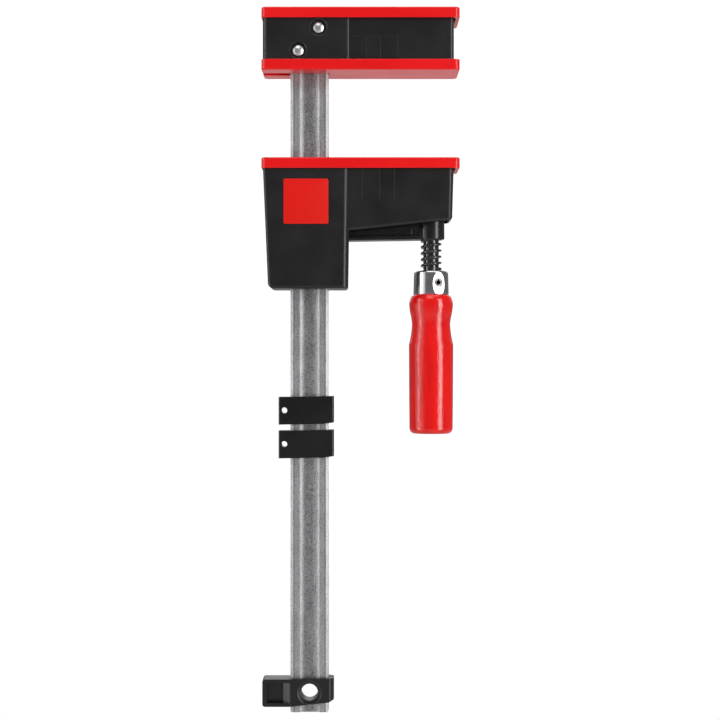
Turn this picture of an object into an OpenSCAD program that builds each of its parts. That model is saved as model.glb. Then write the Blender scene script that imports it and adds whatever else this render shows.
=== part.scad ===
// Parallel-jaw bar clamp. The origin is the centre of the fixed jaw's clamping face,
// +Z runs up the rail, +X points from the rail to the nose of the jaws.

/* [Rail] */
// Width of the rail, across its two flat faces
rail_w = 29; // [27:0.5:31]
// Thickness of the rail
rail_t = 9; // [8:0.5:10]
// Length of the rail below the clamping face
rail_below = 483.7; // [460:1:900]
// Length of the rail above the clamping face
rail_above = 43.5; // [42:0.5:44]
// Width of the hollow groove along each face
groove_w = 13; // [9:0.5:15]
// Depth of the hollow groove
groove_depth = 1.6; // [0.8:0.1:2]

/* [Jaws] */
// Clear throat from the rail to the nose of the pads
throat = 98.4; // [90:0.1:110]
// Opening between the two clamping faces at rest
opening = 65.4; // [60:0.1:66]
// Distance from the outer end of the pads to the rail's outer edge
jaw_tail = 21.2; // [19:0.1:24]
// Half of the pads' width
pad_half = 21; // [20:0.5:23]
// Height of a pad with its rim
pad_h = 8; // [7:0.5:9]
// Thickness of a pad's plate
pad_plate = 3; // [2.5:0.1:3.5]
// Height of the fixed jaw over both pads
fixed_jaw_h = 47.1; // [46:0.1:48]
// Half width of the covers beside the rail
cover_half = 19; // [18.5:0.1:19]
// Half width of the covers along the nose
nose_half = 17.6; // [17:0.1:17.8]
// Wall of the covers
cover_wall = 2.4; // [2:0.1:2.6]
// Height of the moving jaw at the rail, below its pad's face
moving_jaw_h = 98.1; // [95:0.1:100]
// Depth of the moving jaw's nose at the spindle end
nose_depth = 46.3; // [44:0.1:48]

/* [Screw] */
// Distance of the spindle from the middle of the throat
spindle_x = 28.5; // [26:0.5:30]
// Outer radius of the thread
thread_r = 8; // [7.5:0.1:8.5]
// Root radius of the thread
root_r = 5.9; // [5.5:0.1:6.1]
// Rise of the thread in one turn
pitch = 4.7; // [4:0.1:5]
// Length of the handle below the ferrule
handle_l = 105.4; // [95:0.1:120]
// Radius of the handle's barrel at its upper end
handle_r = 16.9; // [15:0.1:18]
// Radius of the handle's finger waist
waist_r = 14.5; // [12:0.1:14.5]

/* [Rail rests] */
// Height of a rail rest
rest_h = 20.9; // [16:0.1:24]
// Bottom of the upper rest
upper_rest_z = -265.9; // [-266:0.1:-260]
// Bottom of the lower rest
lower_rest_z = -291.4; // [-300:0.1:-291]

/* [End stop] */
// Radius of the hanging hole
hang_r = 6.3; // [5:0.1:6.4]
// Height of the hanging hole above the rail's lower end
hang_up = 15.7; // [15:0.1:18]

/* [Hidden] */
$fn = 48;
rail_in = -throat / 2;              // the rail's edge towards the throat
rail_out = rail_in - rail_w;        // the rail's outer edge
rail_x = rail_in - rail_w / 2;
rail_bottom = -rail_below;
jaw_x0 = rail_out - jaw_tail;       // the pads' outer end
jaw_x1 = throat / 2;                // the pads' nose end
pad_corner = 4;
slide_gap = 0.3;                    // between the rail and what slides on it
slot_half = rail_t / 2 + 0.4;       // half width of a rail slot
slot_x1 = rail_in + 0.4;            // where a rail slot ends
cover_x0 = jaw_x0 + 0.9;
cover_x1 = jaw_x1 - 4.2;
nose_x = -33.5;                     // where a cover narrows to its nose
pad_rim_x1 = jaw_x1 - 3;            // inner face of a pad's nose rim
skin = 1.5;                         // thin walls over the fixed jaw's core
fit_gap = 0.2;                      // between a cover's wall and the core in it
core_half = cover_half - cover_wall - fit_gap;
nose_core_half = nose_half - cover_wall - fit_gap;

// fixed jaw
fixed_z0 = pad_plate;
fixed_z1 = fixed_jaw_h - pad_plate;
rivets = [[-56.6, 32.1], [-71.9, 14.9]];
rivet_r = 3;
rivet_head_r = 4.5;
rivet_head_h = 2;
rivet_edge_r = 0.8;
rivet_well_r = 6;
fixed_panels = [[-31.5, -20.5], [-20, -10], [-8.5, 3]];  // ends of the raised panels on the nose
fixed_panel_z0 = 9;
fixed_panel_z1 = 26;
panel_proud = 0.35;

// moving jaw
face_z = -opening;
moving_z1 = face_z - pad_plate;
moving_z0 = face_z - moving_jaw_h;
nose_z0 = face_z - nose_depth;
nose_root_z = nose_z0 - 8;          // underside of the nose where it meets the body
tail_lean = 4.1;                    // the body narrows downwards by this much
nose_lean = 1.3;                    // and so do its inner side and the nose's end
body_x1 = -33.2;
web_t = 3;                          // web of the moving jaw's core
web_z1 = moving_z1 - cover_wall;
web_z0 = web_z1 - web_t;
cheek_t = 2.5;                      // side walls of the moving jaw's core
core_corner = 2.7;
arm_slot_half = 8.5;
moving_panels = [[-32.5, -23.5], [-22.5, -10.5], [-8.5, 0.5]];
moving_panel_z0 = -97;

// slide arm
arm_bottom = -126.9;
arm_top = -92;
arm_head_x0 = -87.5;
arm_head_x1 = -39.5;
arm_head_half = 10;
arm_web_half = 5;
arm_flange_half = 8;
arm_flange_t = 3.5;
boss_r = 10.15;
boss_z0 = arm_bottom + 1;
boss_z1 = -104;
grip_r = 2.5;
grip_gap = 0.4;

// spindle
thread_z0 = -149.4;
thread_z1 = -91;
running = 0.06;                     // radial clearance of a running fit
seat_z0 = -82;
neck_r = 4;
tip_r = 5;
tip_z1 = -76.4;
tang_r = 5.6;
tang_z0 = -197;

// handle and ferrule
ferrule_z1 = thread_z0;
ferrule_z0 = -167.4;
ferrule_r0 = 13.4;
ferrule_r1 = 13;
ferrule_cup_r = 10.5;
ferrule_cup_z = -154;
pin_z = -158.6;
pin_r = 3.3;
pin_turn = 25;                      // the pin's angle from the front
flat_at = 12.3;                     // depth of the ferrule's scallops, from the axis
scallop_r = 45;
handle_z0 = ferrule_z0 - handle_l;
shoulder_r = 16.6;
shoulder_z = ferrule_z0 - 8;
barrel_z = -205;
taper = 0.4;                        // loss of radius down the barrel
end_r = 4;

// brake, below the arm at every feed
brake_z = -154;
brake_half = 4;
brake_reach = 6.5;                  // half height of shoe and spring
shoe_x0 = rail_out - 8.3;
leaf_t = 0.6;

// end stop clip
clip_z = rail_bottom + hang_up;
clip_half = 8.6;
leg_half = 8;
clip_head_x0 = jaw_x0 + 0.1;
clip_head_x1 = rail_out + 0.5;
clip_wall_x = rail_in + 3.9;

// Points of an arc about (x, y), from angle a0 to a1
function arc(x, y, r, a0, a1, steps = 6) =
    [for (i = [0:steps]) let (a = a0 + (a1 - a0) * i / steps) [x + r * cos(a), y + r * sin(a)]];

// A box between two corners
module block(low, high) translate(low) cube(high - low);

// An outline in X and Z, extruded to both sides of the mid-plane
module slab(half) rotate([90, 0, 0]) linear_extrude(2 * half, center = true) children();

// A cylinder along Y through the mid-plane
module cross_pin(x, z, r, half) translate([x, 0, z]) rotate([90, 0, 0]) cylinder(r = r, h = 2 * half, center = true);

// A rectangle with rounded corners, centred on the X axis
module rounded_bar(x0, x1, half, r) {
    translate([x0 + r, -half]) square([x1 - x0 - 2 * r, 2 * half]);
    translate([x0, r - half]) square([x1 - x0, 2 * (half - r)]);
    for (x = [x0 + r, x1 - r], y = [r - half, half - r]) translate([x, y]) circle(r);
}

// The outline of a cover seen from above, pulled in by inset
module cover_plan(x0, x1, inset) {
    rounded_bar(x0 + inset, nose_x - inset, cover_half - inset, pad_corner - inset / 2);
    rounded_bar(x0 + inset, x1 - inset, nose_half - inset, pad_corner - inset / 2);
}

// The slot that lets the rail into a jaw from its outer end
module rail_slot(z0, z1) block([jaw_x0 - 1, -slot_half, z0], [slot_x1, slot_half, z1]);

// The closed slot that a sliding piece runs on
module rail_window(gap, z0, z1)
    block([rail_out - gap, -rail_t / 2 - gap, z0], [rail_in + gap, rail_t / 2 + gap, z1]);

// A raised panel on both sides of a nose
module nose_panels(spans, z0, z1)
    for (s = spans, side = [-1, 1])
        block([s[0], side * nose_half - panel_proud, z0], [s[1], side * nose_half + panel_proud, z1]);

// A pad with its plate at the bottom and its clamping face at z = 0, opening upwards
module pad_body() {
    difference() {
        linear_extrude(pad_h) rounded_bar(jaw_x0, jaw_x1, pad_half, pad_corner);
        translate([0, 0, pad_plate])
            linear_extrude(pad_h) rounded_bar(cover_x0, pad_rim_x1, cover_half, pad_corner);
        rail_slot(-1, pad_h + 1);
    }
}

module rail() color("silver")
    difference() {
        translate([rail_x, 0, rail_bottom]) linear_extrude(rail_below + rail_above) rail_section();
        for (r = rivets) cross_pin(r[0], r[1], rivet_r, rail_t);
        cross_pin(rail_x, clip_z, hang_r + 2.2, rail_t);
    }

module rail_section() {
    groove_r = (pow(groove_w / 2, 2) + pow(groove_depth, 2)) / (2 * groove_depth);
    bevel_w = 2.2;
    bevel_t = 1.1;
    w = rail_w / 2;
    t = rail_t / 2;
    difference() {
        polygon([[-w, bevel_t - t], [bevel_w - w, -t], [w - bevel_w, -t], [w, bevel_t - t],
                 [w, t - bevel_t], [w - bevel_w, t], [bevel_w - w, t], [-w, t - bevel_t]]);
        for (side = [-1, 1]) translate([0, side * (t - groove_depth + groove_r)]) circle(groove_r, $fn = 96);
    }
}

module fixed_jaw_core() color("dimgray") {
    z0 = fixed_z0 + skin;
    z1 = fixed_z1 - skin;
    difference() {
        translate([0, 0, z0]) linear_extrude(z1 - z0) cover_plan(cover_x0, cover_x1, cover_wall + fit_gap);
        // the nose is a channel, open upwards
        block([nose_x + 3, 3.5 - nose_core_half, z0 + 4], [cover_x1, nose_core_half - 3.5, z1 + 1]);
        rail_window(0, z0 - 1, z1 + 1);
        for (r = rivets) cross_pin(r[0], r[1], rivet_r, core_half + 1);
    }
}

module fixed_jaw_cover() color("#1c1c1e")
    difference() {
        union() {
            translate([0, 0, fixed_z0]) linear_extrude(fixed_z1 - fixed_z0) cover_plan(cover_x0, cover_x1, 0);
            nose_panels(fixed_panels, fixed_panel_z0, fixed_panel_z1);
        }
        translate([0, 0, fixed_z0 + skin]) linear_extrude(fixed_z1 - fixed_z0 - 2 * skin)
            cover_plan(cover_x0, cover_x1, cover_wall);
        rail_slot(fixed_z0 - 1, fixed_z0 + skin + 1);
        rail_slot(fixed_z1 - skin - 1, fixed_z1 + 1);
        for (r = rivets) cross_pin(r[0], r[1], rivet_well_r, cover_half + 1);
    }

module fixed_jaw_rivets() color("lightgray")
    for (r = rivets) {
        cross_pin(r[0], r[1], rivet_r, core_half);
        for (side = [-1, 1]) translate([r[0], side * core_half, r[1]]) rotate([side * -90, 0, 0]) rivet_head();
    }

// A low rounded head, turned from its half outline
module rivet_head() rotate_extrude()
    polygon(concat([[0, 0], [rivet_head_r, 0]],
                   arc(rivet_head_r - rivet_edge_r, rivet_head_h - rivet_edge_r, rivet_edge_r, 0, 90, 4),
                   [[0, rivet_head_h]]));

module fixed_jaw_pad() color("red") pad_body();

module fixed_jaw_back_pad() color("red") translate([0, 0, fixed_jaw_h]) mirror([0, 0, 1]) pad_body();

module end_stop_clip() color("#1c1c1e")
    difference() {
        union() {
            slab(clip_half) clip_head();
            slab(leg_half) polygon([[clip_head_x1 - 1, clip_z - 10.9], [rail_in, clip_z - 7.7],
                                    [clip_wall_x, clip_z - 5.7], [clip_wall_x, clip_z + 10.5],
                                    [clip_head_x1 - 1, clip_z + 9.9]]);
        }
        difference() {
            rail_window(0, rail_bottom - 1, clip_z + 20);
            cross_pin(rail_x, clip_z, hang_r + 2.2, rail_t);
        }
        cross_pin(rail_x, clip_z, hang_r, 20);
        for (side = [-1, 1]) translate([rail_x, side * leg_half, clip_z]) rotate([side * 90, 0, 0])
            translate([0, 0, -1]) cylinder(r1 = hang_r + 4.6, r2 = hang_r, h = 3);
        // pocket in the head with one sloping side, and the split in the end wall
        translate([0, 0, clip_z - 8]) linear_extrude(15.2)
            polygon([[clip_head_x0 + 3.5, -clip_half - 1], [clip_head_x0 + 3.5, 5 - clip_half],
                     [clip_head_x1 - 6, 5 - clip_half], [clip_head_x1 - 0.8, -clip_half - 1]]);
        block([rail_in - 1, -0.5, clip_z - 12], [clip_wall_x + 1, 0.5, clip_z + 12]);
    }

module clip_head() {
    z0 = clip_z - 10.9;
    z1 = clip_z + 9.9;
    r = 2;
    polygon(concat(arc(clip_head_x0 + r, z1 - r, r, 180, 90), arc(clip_head_x1 - r, z1 - r, r, 90, 0),
                   [[clip_head_x1, z0]], arc(clip_head_x0 + r, z0 + r, r, 270, 180)));
}

module slide_arm() color("#202022")
    difference() {
        union() {
            block([arm_head_x0, -arm_head_half, arm_bottom], [arm_head_x1, arm_head_half, arm_top]);
            slab(arm_web_half) polygon([[arm_head_x1 - 1, arm_bottom], [spindle_x, arm_bottom + 1],
                                        [spindle_x, boss_z1 - 2], [arm_head_x1 - 1, arm_top - 4]]);
            slab(arm_flange_half) polygon([[arm_head_x1 - 1, arm_bottom], [spindle_x, arm_bottom + 1],
                                           [spindle_x, arm_bottom + 1 + arm_flange_t],
                                           [arm_head_x1 - 1, arm_bottom + arm_flange_t]]);
            translate([spindle_x, 0, boss_z0]) cylinder(r = boss_r, h = boss_z1 - boss_z0);
        }
        rail_window(0.6, arm_bottom - 1, arm_top + 1);
        translate([spindle_x, 0, boss_z0 - 1]) cylinder(r = thread_r + running, h = boss_z1 - boss_z0 + 2);
        grip_pins(arm_head_half + 1);
    }

// The two hardened pins that bite the rail's edges when the arm tips
module grip_pins(half) {
    cross_pin(rail_out - grip_gap - grip_r, arm_top - 4.5, grip_r, half);
    cross_pin(rail_in + grip_gap + grip_r, arm_bottom + 4.5, grip_r, half);
}

module arm_grip_pins() color("gray") grip_pins(arm_head_half);

// Side outline of the moving jaw, pulled in by inset
module moving_outline(inset) {
    r = 4 - inset / 2;
    x0 = cover_x0 + inset;
    x1 = cover_x1 - inset;
    z0 = moving_z0 + inset;
    lean_x = x0 + tail_lean;
    body = body_x1 - inset;
    polygon(concat([[x0, moving_z1 - inset]], arc(lean_x + r, z0 + r, r, 180, 270),
                   arc(body - nose_lean - r, z0 + r, r, 270, 360), [[body, nose_root_z + inset]],
                   arc(x1 - nose_lean - r, nose_z0 + inset + r, r, 277, 360), [[x1, moving_z1 - inset]]));
}

module moving_jaw_core() color("dimgray") {
    x0 = cover_x0 + cover_wall + fit_gap;
    x1 = cover_x1 - cover_wall - fit_gap;
    cheek_z0 = nose_z0 + 4;
    cheek_x1 = body_x1 - 6;
    difference() {
        intersection() {
            translate([0, 0, moving_z0]) linear_extrude(moving_jaw_h) rounded_bar(x0, x1, nose_core_half, core_corner);
            slab(nose_core_half) polygon([[x0 + 0.3, web_z1], [x0 + tail_lean, moving_z0 + 8],
                                          [cheek_x1, moving_z0 + 8], [cheek_x1, cheek_z0 - 3],
                                          [x1 - nose_lean, cheek_z0], [x1 - 0.3, web_z1]]);
        }
        block([x0 - 1, cheek_t - nose_core_half, moving_z0], [x1 + 1, nose_core_half - cheek_t, web_z0]);
        rail_window(slide_gap, web_z0 - 1, web_z1 + 1);
    }
}

module moving_jaw_cover() color("#1c1c1e") {
    difference() {
        intersection() {
            union() {
                translate([0, 0, moving_z0 - 1]) linear_extrude(moving_jaw_h) cover_plan(cover_x0, cover_x1, 0);
                nose_panels(moving_panels, moving_panel_z0, face_z - pad_h);
            }
            slab(cover_half) moving_outline(0);
        }
        intersection() {
            translate([0, 0, moving_z0 - 1]) linear_extrude(moving_jaw_h) cover_plan(cover_x0, cover_x1, cover_wall);
            slab(cover_half) moving_outline(cover_wall);
        }
        // open underside of the nose, and the slot that the arm travels in
        block([body_x1 + 0.01, -nose_half + cover_wall, nose_root_z - 4],
              [cover_x1 - cover_wall - nose_lean, nose_half - cover_wall, nose_z0 + 8]);
        block([body_x1 - cover_wall - 3, -arm_slot_half, -149], [body_x1 + 2, arm_slot_half, nose_root_z + 6]);
        rail_window(0.5, moving_z0 - 1, moving_z1 + 1);
        rail_slot(moving_z1 - cover_wall - 0.01, moving_z1 + 1);
        jaw_badge_block(0);
    }
}

module moving_jaw_pad() color("red") translate([0, 0, face_z]) mirror([0, 0, 1]) pad_body();

// The badge is let 0.6 into the front of the cover and stands 0.2 proud
module jaw_badge_block(proud)
    block([-82.7, -cover_half - proud, -115.1], [-49.1, 0.6 - cover_half, -81.3]);

module jaw_badge() color("crimson") jaw_badge_block(0.2);

// The hardened cup that takes the spindle's push
module thrust_seat() color("gray")
    translate([spindle_x, 0, 0]) difference() {
        translate([0, 0, seat_z0]) cylinder(r = 11, h = web_z0 - seat_z0);
        translate([0, 0, seat_z0 - 1]) cylinder(r = tip_r + running, h = tip_z1 + 0.4 - seat_z0 + 1);
    }

// A slotted plate under the seat that keeps the spindle's tip in it
module seat_retainer() color("silver")
    translate([spindle_x, 0, seat_z0 - 1.5]) difference() {
        cylinder(r = 11, h = 1.5);
        translate([0, 0, -1]) cylinder(r = neck_r + 0.3, h = 4);
        block([0, -neck_r - 0.3, -1], [12, neck_r + 0.3, 3]);
    }

// A bowed leaf between the cover's outer wall and the brake shoe
module brake_spring() color("silver")
    slab(brake_half - 0.5) intersection() {
        translate([shoe_x0 - brake_reach, brake_z]) difference() {
            circle(brake_reach);
            circle(brake_reach - leaf_t);
        }
        moving_outline(cover_wall);
        translate([shoe_x0 - brake_reach, moving_z0]) square([12, 60]);
    }

module brake_shoe() color("beige")
    block([shoe_x0, -brake_half, brake_z - brake_reach], [rail_out - slide_gap, brake_half, brake_z + brake_reach]);

// Cross-section of a single-start thread: its radius rises and falls once round the axis
module thread_section(points = 12) {
    shape = [1, 1, 1, 1, 0.5, 0, 0, 0, 0, 0, 0, 0.5];
    polygon([for (i = [0:points - 1]) let (r = root_r + (thread_r - root_r) * shape[i], a = 360 * i / points)
             [r * cos(a), r * sin(a)]]);
}

module spindle() color("#2a2a2c")
    translate([spindle_x, 0, 0]) difference() {
        union() {
            thread_l = thread_z1 - thread_z0;
            translate([0, 0, thread_z0]) linear_extrude(thread_l, twist = -360 * thread_l / pitch,
                slices = ceil(12 * thread_l / pitch), $fn = 12) thread_section();
            translate([0, 0, tang_z0]) cylinder(r = tang_r, h = thread_z0 - tang_z0);
            translate([0, 0, thread_z1]) cylinder(r = neck_r, h = seat_z0 - thread_z1 + 1);
            translate([0, 0, seat_z0 + 0.3]) cylinder(r = tip_r, h = tip_z1 - 1 - seat_z0 - 0.3);
            translate([0, 0, tip_z1 - 1]) cylinder(r1 = tip_r, r2 = tip_r - 1, h = 1);
        }
        pin_axis(pin_r, 20);
    }

// A cylinder through the spindle's axis, along the ferrule pin
module pin_axis(r, half)
    translate([0, 0, pin_z]) rotate([0, 0, pin_turn]) rotate([90, 0, 0]) cylinder(r = r, h = 2 * half, center = true);

module ferrule() color("gainsboro")
    translate([spindle_x, 0, 0]) difference() {
        rotate_extrude() polygon(concat([[0, ferrule_z0], [ferrule_r0, ferrule_z0]],
            arc(ferrule_r1 - 2, ferrule_z1 - 2, 2, 0, 90), [[0, ferrule_z1]]));
        translate([0, 0, ferrule_z0 - 1]) cylinder(r = ferrule_cup_r, h = ferrule_cup_z - ferrule_z0 + 1);
        translate([0, 0, ferrule_z0]) cylinder(r = tang_r, h = 30);
        pin_axis(pin_r, 20);
        // a shallow scallop round each end of the pin
        for (turn = [0, 180]) rotate([0, 0, pin_turn + turn]) translate([0, -flat_at - scallop_r, pin_z])
            rotate([0, 90, 0]) cylinder(r = scallop_r, h = 40, center = true);
    }

module ferrule_pin() color("silver")
    translate([spindle_x, 0, 0]) difference() {
        pin_axis(pin_r, flat_at + 0.2);
        pin_axis(pin_r - 1.2, 20);
        translate([0, 0, pin_z]) rotate([0, 0, pin_turn]) block([-0.4, -20, 0], [0.4, 20, 5]);
    }

// Handle radius at a share of the way from the shoulder past the finger waist to the barrel
function waist(u) = shoulder_r + (handle_r - shoulder_r) * u - (shoulder_r - waist_r) * pow(sin(180 * u), 2);

module handle() color("red")
    translate([spindle_x, 0, 0]) difference() {
        rotate_extrude() polygon(concat([[0, ferrule_cup_z], [ferrule_cup_r, ferrule_cup_z],
            [ferrule_cup_r, ferrule_z0]],
            [for (a = [0:15:75]) [ferrule_cup_r + (shoulder_r - ferrule_cup_r) * (0.45 + 0.55 * sin(a)),
                                  ferrule_z0 - (ferrule_z0 - shoulder_z) * (1 - cos(a))]],
            [for (i = [0:12]) [waist(i / 12), shoulder_z + (barrel_z - shoulder_z) * i / 12]],
            arc(handle_r - taper - end_r, handle_z0 + end_r, end_r, 0, -90), [[0, handle_z0]]));
        translate([0, 0, tang_z0]) cylinder(r = tang_r, h = 60);
        pin_axis(pin_r, 20);
    }

// A clip round the rail, split down its back, with a pierced tab on its outer side
module rail_rest() {
    x0 = jaw_x0 + 12.3;
    x1 = rail_in + 3.9;
    half = 7;
    difference() {
        intersection() {
            linear_extrude(rest_h + 1) rounded_bar(x0, x1, half, 1.5);
            slab(half) polygon([[x0, 0], [x1 - 8, 0.6], [x1, 1.7], [x1, rest_h + 0.7], [x0, rest_h]]);
        }
        rail_window(slide_gap, -1, rest_h + 1);
        cross_pin(x0 + 4.3, rest_h / 2 + 0.3, 2.3, half + 1);
        block([rail_x - 2, 0, -1], [rail_x + 2, half + 1, rest_h + 1]);
    }
}

module upper_rail_rest() color("#1c1c1e") translate([0, 0, upper_rest_z]) rail_rest();

module lower_rail_rest() color("#1c1c1e") translate([0, 0, lower_rest_z]) rail_rest();

rail();
fixed_jaw_core();
fixed_jaw_cover();
fixed_jaw_rivets();
fixed_jaw_pad();
fixed_jaw_back_pad();
end_stop_clip();
slide_arm();
arm_grip_pins();
moving_jaw_core();
moving_jaw_cover();
moving_jaw_pad();
jaw_badge();
thrust_seat();
seat_retainer();
brake_spring();
brake_shoe();
spindle();
ferrule();
ferrule_pin();
handle();
upper_rail_rest();
lower_rail_rest();
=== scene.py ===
"""Parallel-jaw bar clamp: the pieces that show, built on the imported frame.

Everything is in metres, in the frame's own coordinates: the origin is the middle of the fixed
jaw's clamping face, +Z runs up the rail and +X from the rail to the nose of the jaws.
"""

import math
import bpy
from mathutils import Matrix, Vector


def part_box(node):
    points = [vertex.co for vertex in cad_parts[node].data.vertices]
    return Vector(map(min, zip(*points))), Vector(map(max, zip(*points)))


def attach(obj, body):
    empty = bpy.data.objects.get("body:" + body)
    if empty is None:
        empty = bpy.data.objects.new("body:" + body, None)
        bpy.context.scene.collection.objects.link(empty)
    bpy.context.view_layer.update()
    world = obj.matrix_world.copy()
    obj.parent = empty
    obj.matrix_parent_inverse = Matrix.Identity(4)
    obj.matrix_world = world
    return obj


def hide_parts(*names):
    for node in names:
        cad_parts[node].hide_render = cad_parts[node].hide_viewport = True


bl_info = {
    "name": "Parallel-jaw bar clamp",
    "version": (1, 0, 0),
    "blender": (4, 5, 0),
    "location": "3D View > Sidebar > Clamp",
    "description": "Builds the visible pieces of a parallel-jaw bar clamp on its packed frame",
    "category": "Object",
}

from functools import cache

import bmesh
import bpy
from bpy.props import FloatProperty, FloatVectorProperty, IntProperty, PointerProperty
from bpy.types import NodeSocket, Operator, Panel, PropertyGroup
from mathutils import Matrix, Vector
from mathutils.geometry import interpolate_bezier

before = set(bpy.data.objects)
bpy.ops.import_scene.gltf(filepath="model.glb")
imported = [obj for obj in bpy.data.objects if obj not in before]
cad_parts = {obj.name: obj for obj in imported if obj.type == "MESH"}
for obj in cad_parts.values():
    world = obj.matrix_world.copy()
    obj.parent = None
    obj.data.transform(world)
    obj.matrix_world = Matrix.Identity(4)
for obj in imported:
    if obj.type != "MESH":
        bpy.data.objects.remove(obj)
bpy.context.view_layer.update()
TURN = 2 * math.pi
PAST = 0.001  # how far a cutting tool reaches past the surface that it cuts
NEAR = 1e-5  # two places closer than this are the same
MIDDLE_OF_VIEW = Vector((-0.0255, 0, -0.217))
RIVET_HEAD = 0.0045  # radius of a rivet's head
GRIP_PIN = 0.0025  # radius of a grip pin
TANG = 0.0056  # radius of the screw's end inside the ferrule and the handle
HANDLE_NECK = 0.0105  # radius of the handle's end inside the ferrule


# ---- sizes and colours


def length(name, description, default):
    """A size in metres that a user can change."""
    return FloatProperty(
        name=name, description=description, default=default, min=0.0, unit="LENGTH", precision=5
    )


def colour(name, description, default):
    """A colour that a user can change."""
    return FloatVectorProperty(
        name=name, description=description, default=default, min=0.0, max=1.0, subtype="COLOR"
    )


class RailSizes(PropertyGroup):
    bevel_width: length("Bevel width", "Width of the bevel along the rail's corners", 0.0022)
    bevel_depth: length("Bevel depth", "How far each bevel drops from the face", 0.0011)
    groove_width: length("Groove width", "Width of the hollow groove along each face", 0.015)
    groove_flat: length("Groove flat", "Half the width of the groove's flat bottom", 0.0025)
    groove_depth: length("Groove depth", "Depth of the hollow groove", 0.0016)
    tooth_pitch: length("Tooth pitch", "Distance between two serrations", 0.0016)
    tooth_depth: length("Tooth depth", "Depth of the serrations", 0.00035)
    rivet_radius: length("Rivet radius", "Radius of the rivets' shanks", 0.003)
    clip_hole_radius: length("Clip hole radius", "Radius of the hole for the end clip", 0.0085)


class JawSizes(PropertyGroup):
    pad_plate: length("Pad plate", "Thickness of a pad's plate", 0.003)
    pad_corner: length("Pad corner", "Radius of a pad's corners", 0.004)
    cover_half: length("Cover half width", "Half a cover's width beside the rail", 0.019)
    nose_half: length("Nose half width", "Half a cover's width along the nose", 0.0176)
    wall: length("Cover wall", "Wall of the covers", 0.0024)
    slot_half: length("Slot half width", "Half the width of the slots for the rail", 0.0049)
    step_past_rail: length("Step past the rail", "From the rail to where a cover narrows", 0.0157)
    well_radius: length("Well radius", "Radius of the round wells over the rivets", 0.006)
    panel_proud: length("Panel height", "How far the nose panels stand proud", 0.00035)


class ScrewSizes(PropertyGroup):
    axis_x: length("Axis", "Distance of the spindle from the middle of the throat", 0.0285)
    thread_radius: length("Thread radius", "Outer radius of the thread", 0.008)
    root_radius: length("Root radius", "Root radius of the thread", 0.0059)
    pitch: length("Pitch", "Rise of the thread in one turn", 0.0047)
    waist_radius: length("Waist radius", "Smallest radius of the handle's finger waist", 0.0145)
    barrel_radius: length("Barrel radius", "Radius of the handle's barrel", 0.0168)
    pin_radius: length("Pin radius", "Radius of the pin across the ferrule", 0.0033)
    pin_turn: FloatProperty(
        name="Pin turn", description="How far the pin is turned from the front",
        default=math.radians(25), subtype="ANGLE",
    )
    lathe_steps: IntProperty(
        name="Lathe steps", description="Facets round a turned piece", default=128, min=24
    )


class ClipSizes(PropertyGroup):
    hang_radius: length("Hanging hole radius", "Radius of the hanging hole", 0.0063)
    funnel: length("Funnel", "How much wider the hanging hole is at its mouths", 0.0031)
    rest_bore: length("Rest tab bore", "Radius of the hole in a rest's tab", 0.0023)
    gap: length("Sliding gap", "Gap between the rail and what slides on it", 0.0003)


class Finishes(PropertyGroup):
    pad_red: colour("Pad red", "Glossy moulded red of the pads", (0.78, 0.003, 0.004))
    badge_red: colour("Badge red", "Red of the plain badge", (0.72, 0.006, 0.001))
    lacquer_red: colour("Lacquer red", "Red of the lacquered handle", (0.76, 0.002, 0.001))
    cover_black: colour("Cover black", "Moulded black of the covers", (0.0085, 0.0078, 0.0085))
    clip_black: colour("Clip black", "Moulded black of the clips", (0.0065, 0.0057, 0.006))
    zinc: colour("Zinc", "Galvanised surface of the rail", (0.56, 0.56, 0.565))


GROUPS = {
    "clamp_rail": RailSizes,
    "clamp_jaws": JawSizes,
    "clamp_screw": ScrewSizes,
    "clamp_clips": ClipSizes,
    "clamp_finishes": Finishes,
}


# ---- modelling helpers


def box(low, high):
    """A box between two corners."""
    low, high = Vector(low), Vector(high)
    bm = bmesh.new()
    middle = Matrix.Translation((low + high) / 2)
    bmesh.ops.create_cube(bm, size=1, matrix=middle @ Matrix.Diagonal((*(high - low), 1)))
    return bm


def plan(outline, z0, z1):
    """An outline in X and Y, raised from z0 to z1."""
    bm = bmesh.new()
    face = bm.faces.new([bm.verts.new((x, y, z0)) for x, y in outline])
    return raised(bm, face, (0, 0, z1 - z0))


def side(outline, y0, y1):
    """An outline in X and Z, carried across from y0 to y1."""
    bm = bmesh.new()
    face = bm.faces.new([bm.verts.new((x, y0, z)) for x, z in outline])
    return raised(bm, face, (0, y1 - y0, 0))


def raised(bm, face, move):
    """Closes a single face into a prism."""
    made = bmesh.ops.extrude_face_region(bm, geom=[face])["geom"]
    far = [v for v in made if isinstance(v, bmesh.types.BMVert)]
    bmesh.ops.translate(bm, verts=far, vec=move)
    bmesh.ops.recalc_face_normals(bm, faces=bm.faces)
    return bm


def rotated(bm, angle, axis):
    """Turns a shape about one of the frame's axes."""
    turn = Matrix.Rotation(angle, 3, axis)
    bmesh.ops.rotate(bm, verts=bm.verts, cent=(0, 0, 0), matrix=turn)
    return bm


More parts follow.
